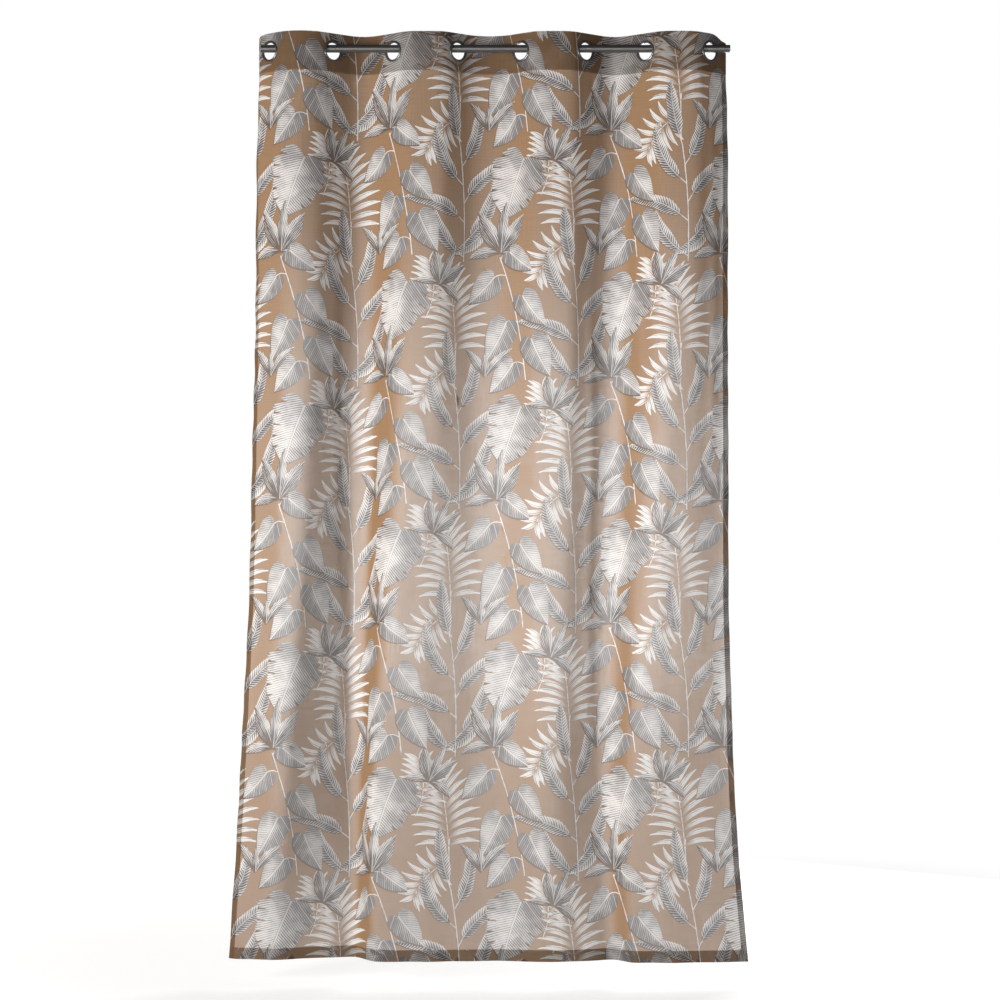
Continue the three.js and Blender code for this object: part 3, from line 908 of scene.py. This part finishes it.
foot, fold, back_foot = -HEADING_FOOT, -HEADING_TOP, HEADING_FOOT - 2 * HEADING_TOP
heading = cut_sheet(
    "heading_cloth", (left, foot), (right, back_foot),
    columns=[left, *evenly(0, CLOTH_WIDE, HEADING_STEP), right],
    rows=[*evenly(foot, fold, HEADING_STEP), *evenly(fold, back_foot, HEADING_STEP)[1:]],
    folds=[
        ((0, foot), (0, back_foot)),
        ((CLOTH_WIDE, foot), (CLOTH_WIDE, back_foot)),
        ((left, fold), (right, fold)),
    ],
    holes=holes,
    hung=hang_heading,
)
# The heading is double all over, so all of it takes the double finishes with their painted shade
for finish in double_voile:
    heading.data.materials.append(finish)
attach(heading, "root")
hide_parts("heading")

# The stitching. Lockstitch in a tan polyester thread along the heading's foot, the foot hem and both
# side hems, each stitch a short raised bead of thread on the front of the cloth.
STITCH_PITCH = 4.2
STITCH_LONG = 3.1
THREAD_HALF = 0.24
STITCH_SIDES = 5
STITCH_SHAPE = ((0.0, 0.45), (0.5, 1.0), (1.0, 0.45))
SEAM_FROM_END = 2
HEADING_SEAM_UP = 2.5
HEM_SEAM_IN = 3
SIDE_SEAM_TOP = 64
HEADING_LIFT = 0.6
HEM_LIFT = 0.1
THREAD_TANS = ((0.2, 0.115, 0.07), (0.33, 0.2, 0.125))
TWIST_SCALE = 600.0
TWIST_RELIEF = (0.3, 0.0001)


def stitch_line(start, end, lift):
    """Three places along every stitch of a straight seam of the flat cloth, and the way forward there."""
    (along, drop), (to_along, to_drop) = start, end
    length = math.hypot(to_along - along, to_drop - drop)
    shares = [
        (k * STITCH_PITCH + offset * STITCH_LONG) / length
        for k in range(int(length / STITCH_PITCH))
        for offset, _ in STITCH_SHAPE
    ]
    along, drop = mix(along, to_along, np.array(shares)), mix(drop, to_drop, np.array(shares))
    under = ripples(along, drop) * (drop > HEADING_FOOT)
    centre = hang(along, drop, under + lift)
    outward = hang(along, drop, under + lift + 1) - centre
    return centre.reshape(-1, 3, 3), outward.reshape(-1, 3, 3) / MM


def seam_across(drop, lift):
    return stitch_line((SEAM_FROM_END, drop), (CLOTH_WIDE - SEAM_FROM_END, drop), lift)


def seam_down(along):
    return stitch_line((along, SIDE_SEAM_TOP), (along, HEM_DROP - HEM_SEAM_IN), HEM_LIFT)


seams = [
    seam_across(HEADING_FOOT - HEADING_SEAM_UP, HEADING_LIFT),
    seam_across(HEM_DROP - FOOT_HEM + HEM_SEAM_IN, HEM_LIFT),
    seam_down(SIDE_HEM - HEM_SEAM_IN),
    seam_down(CLOTH_WIDE - SIDE_HEM + HEM_SEAM_IN),
]
points, faces = [], []
for centres, outwards in seams:
    for centre, outward in zip(centres, outwards):
        first = len(points)
        run = centre[2] - centre[0]
        beside = np.cross(run / np.linalg.norm(run), outward[1])
        for place, (_, half) in zip(centre, STITCH_SHAPE):
            for turn in np.linspace(0, 2 * np.pi, STITCH_SIDES, endpoint=False):
                away = beside * math.cos(turn) + outward[1] * math.sin(turn)
                points.append(tuple(place + away * half * THREAD_HALF * MM))
        for start in (first, first + STITCH_SIDES):
            for side in range(STITCH_SIDES):
                a, b = start + side, start + (side + 1) % STITCH_SIDES
                faces.append((a, b, b + STITCH_SIDES, a + STITCH_SIDES))
        faces.append(tuple(range(first + STITCH_SIDES - 1, first - 1, -1)))
        faces.append(tuple(range(first + 2 * STITCH_SIDES, first + 3 * STITCH_SIDES)))
stitching = smooth_piece("stitching", points, faces, sharp_past=180)


def sewing_thread():
    """Tan polyester sewing thread, a shade darker than the cloth, with its twist as fine bands."""
    material, tree = new_material("sewing_thread")
    place = node(tree, "TexCoord").outputs["Object"]
    bands = {"Vector": place, "Scale": TWIST_SCALE}
    twist = node(tree, "TexWave", bands, bands_direction="DIAGONAL").outputs[1]
    colour = blend_colours(tree, twist, *THREAD_TANS)
    relief = bump(tree, twist, *TWIST_RELIEF)
    shader = node(tree, "BsdfPrincipled", {
        "Base Color": colour, "Roughness": 0.6, "Normal": relief, "Sheen Weight": 0.2,
    }).outputs[0]
    node(tree, "OutputMaterial", {"Surface": shader})
    return material


stitching.data.materials.append(sewing_thread())
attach(stitching, "root")

# The eyelets. Eight pairs of moulded rings with a gunmetal finish: the front one has a collar that goes
# through the punched hole, and the back one snaps on to it from behind.
RING_TURNS = 96
RING_SHARP = 50
RING_INNER = 21.5
RING_OUTER = 27.5
FACE_FORWARD = 1.3
CROWN = 2.3
COLLAR_BACK = -2.5
COLLAR_OUTER = 22.7
BACK_INNER = 23.1
BACK_CROWN = 1.9
CROWN_STEPS = 14
CROWN_FULLNESS = 0.8
LEAD_IN = 0.3
COLLAR_BREAK = 0.2
CLOUDED_GREYS = ((0.1, 0.1, 0.104), (0.18, 0.18, 0.186))
CLOUD_RELIEF = (0.05, 0.0003)


def crown(inner, outer, base, height):
    """The rounded face of a ring, from its outer edge to its inner one, as radius and forward."""
    middle, half = (inner + outer) / 2, (outer - inner) / 2
    return [
        (middle + half * math.cos(turn), base + height * math.sin(turn) ** CROWN_FULLNESS)
        for turn in np.linspace(0, np.pi, CROWN_STEPS)
    ]


front_profile = [
    *crown(RING_INNER, RING_OUTER, FACE_FORWARD, CROWN),
    (RING_INNER + 0.1, LEAD_IN),
    (RING_INNER + 0.25, COLLAR_BACK + LEAD_IN),
    (RING_INNER + 0.5, COLLAR_BACK),
    (COLLAR_OUTER - COLLAR_BREAK, COLLAR_BACK),
    (COLLAR_OUTER, COLLAR_BACK + COLLAR_BREAK),
    (COLLAR_OUTER, FACE_FORWARD),
]
back_profile = crown(BACK_INNER, RING_OUTER, -FACE_FORWARD, -BACK_CROWN)[::-1]


def turned_ring(name, profile, x, turn):
    """A ring turned from its profile and stood at x on the rod, its front to the room."""
    away = np.array([math.sin(math.radians(turn)), -math.cos(math.radians(turn)), 0])
    beside = np.array([math.cos(math.radians(turn)), math.sin(math.radians(turn)), 0])
    centre = np.array([x, 0, -EYELET_DROP])
    size = len(profile)
    points, faces = [], []
    for angle in np.linspace(0, 2 * np.pi, RING_TURNS, endpoint=False):
        outward = beside * math.cos(angle) + np.array([0, 0, 1]) * math.sin(angle)
        for radius, forward in profile:
            points.append(tuple((centre + outward * radius + away * forward) * MM))
    for k in range(RING_TURNS):
        for j in range(size):
            here, there = k * size, (k + 1) % RING_TURNS * size
            faces.append((here + j, here + (j + 1) % size, there + (j + 1) % size, there + j))
    return smooth_piece(name, points, faces, RING_SHARP)


def gunmetal():
    """Dark nickel finish over moulded plastic: glossy, with faint clouding and fine rubbing."""
    material, tree = new_material("gunmetal_finish")
    place = node(tree, "TexCoord").outputs["Object"]
    cloud = noise(tree, place, 120.0, 4.0)
    rubbed = noise(tree, place, 900.0, 2.0)
    colour = blend_colours(tree, cloud, *CLOUDED_GREYS)
    roughness = ramp(tree, rubbed, 0.3, 0.7, 0.2, 0.34)
    relief = bump(tree, cloud, *CLOUD_RELIEF)
    shader = node(tree, "BsdfPrincipled", {
        "Base Color": colour, "Roughness": roughness, "Metallic": 0.85, "Normal": relief,
        "Coat Weight": 0.4, "Coat Roughness": 0.15,
    }).outputs[0]
    node(tree, "OutputMaterial", {"Surface": shader})
    return material


gunmetal_finish = gunmetal()
for i, x in enumerate(EYELET_PLACES):
    turn = -EYELET_TURN if i % 2 == 0 else EYELET_TURN
    for side, profile in (("front", front_profile), ("back", back_profile)):
        ring = turned_ring(f"ring_{i + 1}_{side}", profile, x, turn)
        ring.data.materials.append(gunmetal_finish)
        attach(ring, "root")
        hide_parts(f"eyelet_{i + 1}_{side}")

# The rod. A plain steel tube 20 mm thick, lacquered dark grey, its cut ends lightly broken. It carries
# the curtain by the eyelets.
ROD_HALF = 10
ROD_LONG = 1212
ROD_TURNS = 96
ROD_SHARP = 30
END_BREAK = 0.8
STATION_EVERY = 60
LACQUER_GREYS = ((0.13, 0.128, 0.125), (0.16, 0.157, 0.154))
DRAW_MARK_SCALES = (2, 300, 300)
DRAW_MARK_RELIEF = (0.02, 0.0001)

points, faces = [], []
stations = [
    (-ROD_LONG / 2, ROD_HALF - END_BREAK), (-ROD_LONG / 2 + END_BREAK, ROD_HALF),
    *[(x, ROD_HALF) for x in evenly(-ROD_LONG / 2, ROD_LONG / 2, STATION_EVERY)[1:-1]],
    (ROD_LONG / 2 - END_BREAK, ROD_HALF), (ROD_LONG / 2, ROD_HALF - END_BREAK),
]
for x, radius in stations:
    for angle in np.linspace(0, 2 * np.pi, ROD_TURNS, endpoint=False):
        points.append((x * MM, radius * math.cos(angle) * MM, radius * math.sin(angle) * MM))
for k in range(len(stations) - 1):
    for j in range(ROD_TURNS):
        a, b = k * ROD_TURNS + j, k * ROD_TURNS + (j + 1) % ROD_TURNS
        faces.append((a, a + ROD_TURNS, b + ROD_TURNS, b))
faces.append(tuple(range(ROD_TURNS)))
faces.append(tuple(range(len(points) - 1, len(points) - 1 - ROD_TURNS, -1)))
rod = smooth_piece("curtain_rod", points, faces, ROD_SHARP)


def lacquered_steel():
    """Satin dark grey lacquer on drawn steel, with faint lengthwise draw marks and small scuffs."""
    material, tree = new_material("lacquered_steel")
    place = node(tree, "TexCoord").outputs["Object"]
    drawn = node(tree, "Mapping", {"Vector": place, "Scale": DRAW_MARK_SCALES}).outputs[0]
    marks = noise(tree, drawn, 1.0, 3.0)
    scuffs = noise(tree, place, 60.0, 6.0)
    colour = blend_colours(tree, marks, *LACQUER_GREYS)
    roughness = ramp(tree, scuffs, 0.35, 0.7, 0.32, 0.38)
    relief = bump(tree, marks, *DRAW_MARK_RELIEF)
    shader = node(tree, "BsdfPrincipled", {
        "Base Color": colour, "Roughness": roughness, "Metallic": 0.8, "Normal": relief,
        "Coat Weight": 0.2, "Coat Roughness": 0.3,
    }).outputs[0]
    node(tree, "OutputMaterial", {"Surface": shader})
    return material


rod.data.materials.append(lacquered_steel())
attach(rod, "root")
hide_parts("rod")

# The stage, in metres. A pale floor that fades out, a soft key light on the left, a faint low one that
# the rod shines in, a lamp behind for the light that comes through the cloth, and a camera square on.
FLOOR_BELOW = -2.42
FLOOR_RADIUS = 40
FLOOR_SIDES = 128
FLOOR_GREY = (0.5, 0.5, 0.5, 1)
SHADED_FLOOR = (0.5, 3.0, 0.62, 1.0)

# How bright the surroundings look through the cloth and how much light they throw on it, and over what
# stretch of the floor or share of the sky each changes
GLOW = 2.0
GLOW_AT_FEET = 1.2
GLOW_ABOVE = 0.38
GLOWING_FLOOR = (0.5, 14.0)
GLOWING_SKY = (0.0, 0.165)
AMBIENT = 0.3
AMBIENT_ABOVE = 0.03
AMBIENT_SKY = (0.05, 0.5)
WHITE = (1.0, 1.0, 1.0)
WARM_WHITE = (1.0, 0.98, 0.94)
ROD_WHITE = (1.0, 0.98, 0.96)


def for_each_look(tree, past, through, falling):
    """A brightness that depends on the look: past the cloth, through it, or as light that falls on it."""
    path = node(tree, "LightPath")
    bare = calc(tree, "LESS_THAN", path.outputs["Transparent Depth"], 0.5)
    looked = node(tree, "Mix", {0: bare, 2: through, 3: past}).outputs[0]
    return node(tree, "Mix", {0: path.outputs["Is Camera Ray"], 2: falling, 3: looked}).outputs[0]


bpy.ops.mesh.primitive_circle_add(
    vertices=FLOOR_SIDES, radius=FLOOR_RADIUS, fill_type="NGON", location=(0, 0, FLOOR_BELOW),
)
floor = bpy.context.object
floor.name = "floor"
pale, tree = new_material("pale_floor")
place = node(tree, "TexCoord").outputs["Object"]
reach = node(tree, "VectorMath", {0: place}, operation="LENGTH").outputs["Value"]
shade = ramp(tree, reach, *SHADED_FLOOR)
glow = ramp(tree, reach, *GLOWING_FLOOR, GLOW_AT_FEET, GLOW)
shine = node(tree, "Emission", {"Strength": for_each_look(tree, shade, glow, AMBIENT)}).outputs[0]
matt = node(tree, "BsdfDiffuse", {"Color": FLOOR_GREY}).outputs[0]
shaded = node(tree, "MixShader", {0: for_each_look(tree, 1.0, 0.0, 0.0), 2: matt}).outputs[0]
node(tree, "OutputMaterial", {"Surface": node(tree, "AddShader", {0: shaded, 1: shine}).outputs[0]})
floor.data.materials.append(pale)


def area_light(name, place, aim, size, power, colour, spread=180):
    """A soft box light standing at a place and aimed at a point."""
    light = bpy.data.lights.new(name, "AREA")
    light.shape = "RECTANGLE"
    light.size, light.size_y = size
    light.energy = power
    light.color = colour
    light.spread = math.radians(spread)
    lamp = bpy.data.objects.new(name, light)
    lamp.location = place
    way = np.array(aim) - np.array(place)
    lamp.rotation_euler = (
        math.atan2(math.hypot(way[0], way[1]), -way[2]), 0, math.atan2(-way[0], way[1]),
    )
    lamp.visible_camera = False
    bpy.context.scene.collection.objects.link(lamp)


area_light("key", (-2.9, -2.8, -1.2), (0, 0, -1.4), (1.0, 1.8), 77, WARM_WHITE, spread=110)
area_light("rod_light", (0, -3.2, -0.9), (0, 0, 0), (3.2, 0.8), 2.4, ROD_WHITE, spread=40)
area_light("behind", (1.4, 1.8, -1.2), (0.3, 0, -1.2), (1.2, 1.9), 84, WHITE)

world = bpy.data.worlds.new("studio")
bpy.context.scene.world = world
world.use_nodes = True
tree = world.node_tree
tree.nodes.clear()
way = node(tree, "TexCoord").outputs["Generated"]
level = node(tree, "SeparateXYZ", {0: way}).outputs[2]
glow = ramp(tree, level, *GLOWING_SKY, GLOW, GLOW_ABOVE)
falling = ramp(tree, level, *AMBIENT_SKY, AMBIENT, AMBIENT_ABOVE)
brightness = for_each_look(tree, 1.0, glow, falling)
sky = node(tree, "Background", {"Color": (*WHITE, 1), "Strength": brightness}).outputs[0]
node(tree, "OutputWorld", {"Surface": sky})

CAMERA_PLACE = (0.0116, -5.9, -1.166)
LENS = 82.2
SENSOR = 36
camera_data = bpy.data.cameras.new("camera")
camera_data.lens = LENS
camera_data.sensor_width = SENSOR
camera = bpy.data.objects.new("camera", camera_data)
camera.location = CAMERA_PLACE
camera.rotation_euler = (math.radians(90), 0, 0)
bpy.context.scene.collection.objects.link(camera)
bpy.context.scene.camera = camera
bpy.context.scene.view_settings.view_transform = "Standard"
